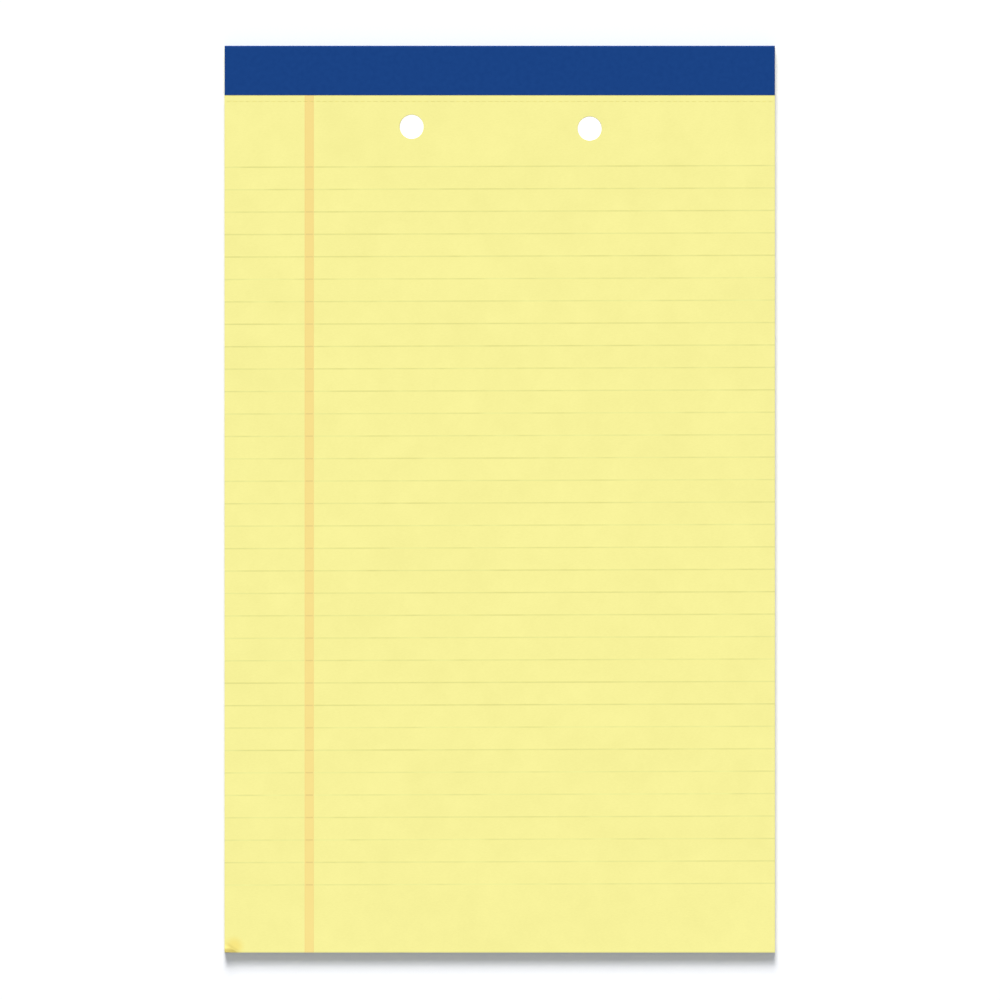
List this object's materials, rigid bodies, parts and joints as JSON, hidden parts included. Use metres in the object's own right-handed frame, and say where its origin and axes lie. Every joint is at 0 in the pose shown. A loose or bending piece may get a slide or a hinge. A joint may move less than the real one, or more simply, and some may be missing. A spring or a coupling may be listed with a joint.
{
  "type": "writing pad",
  "caption": "Legal-size ruled writing pad of canary sheets on a chipboard back, bound at the head by a folded blue paper strip and punched near the head for a two-prong fastener.",
  "frame": {"origin": "on the desk, under the middle of the pad's outline, curled corner and strip included", "axes": "+Y from the tail to the bound head, +Z out of the page, +X to the right of someone who reads the page"},
  "size_m": [0.216, 0.3558, 0.007],
  "materials": {
    "canary_paper": "matte",
    "chipboard": "matte",
    "blue_coated_paper": "satin",
    "staple_wire": "satin"
  },
  "bodies": {
    "root": {"sheets": "canary_paper", "backing_board": "chipboard", "binding_strip": "blue_coated_paper", "staples": "staple_wire"}
  },
  "joints": []
}
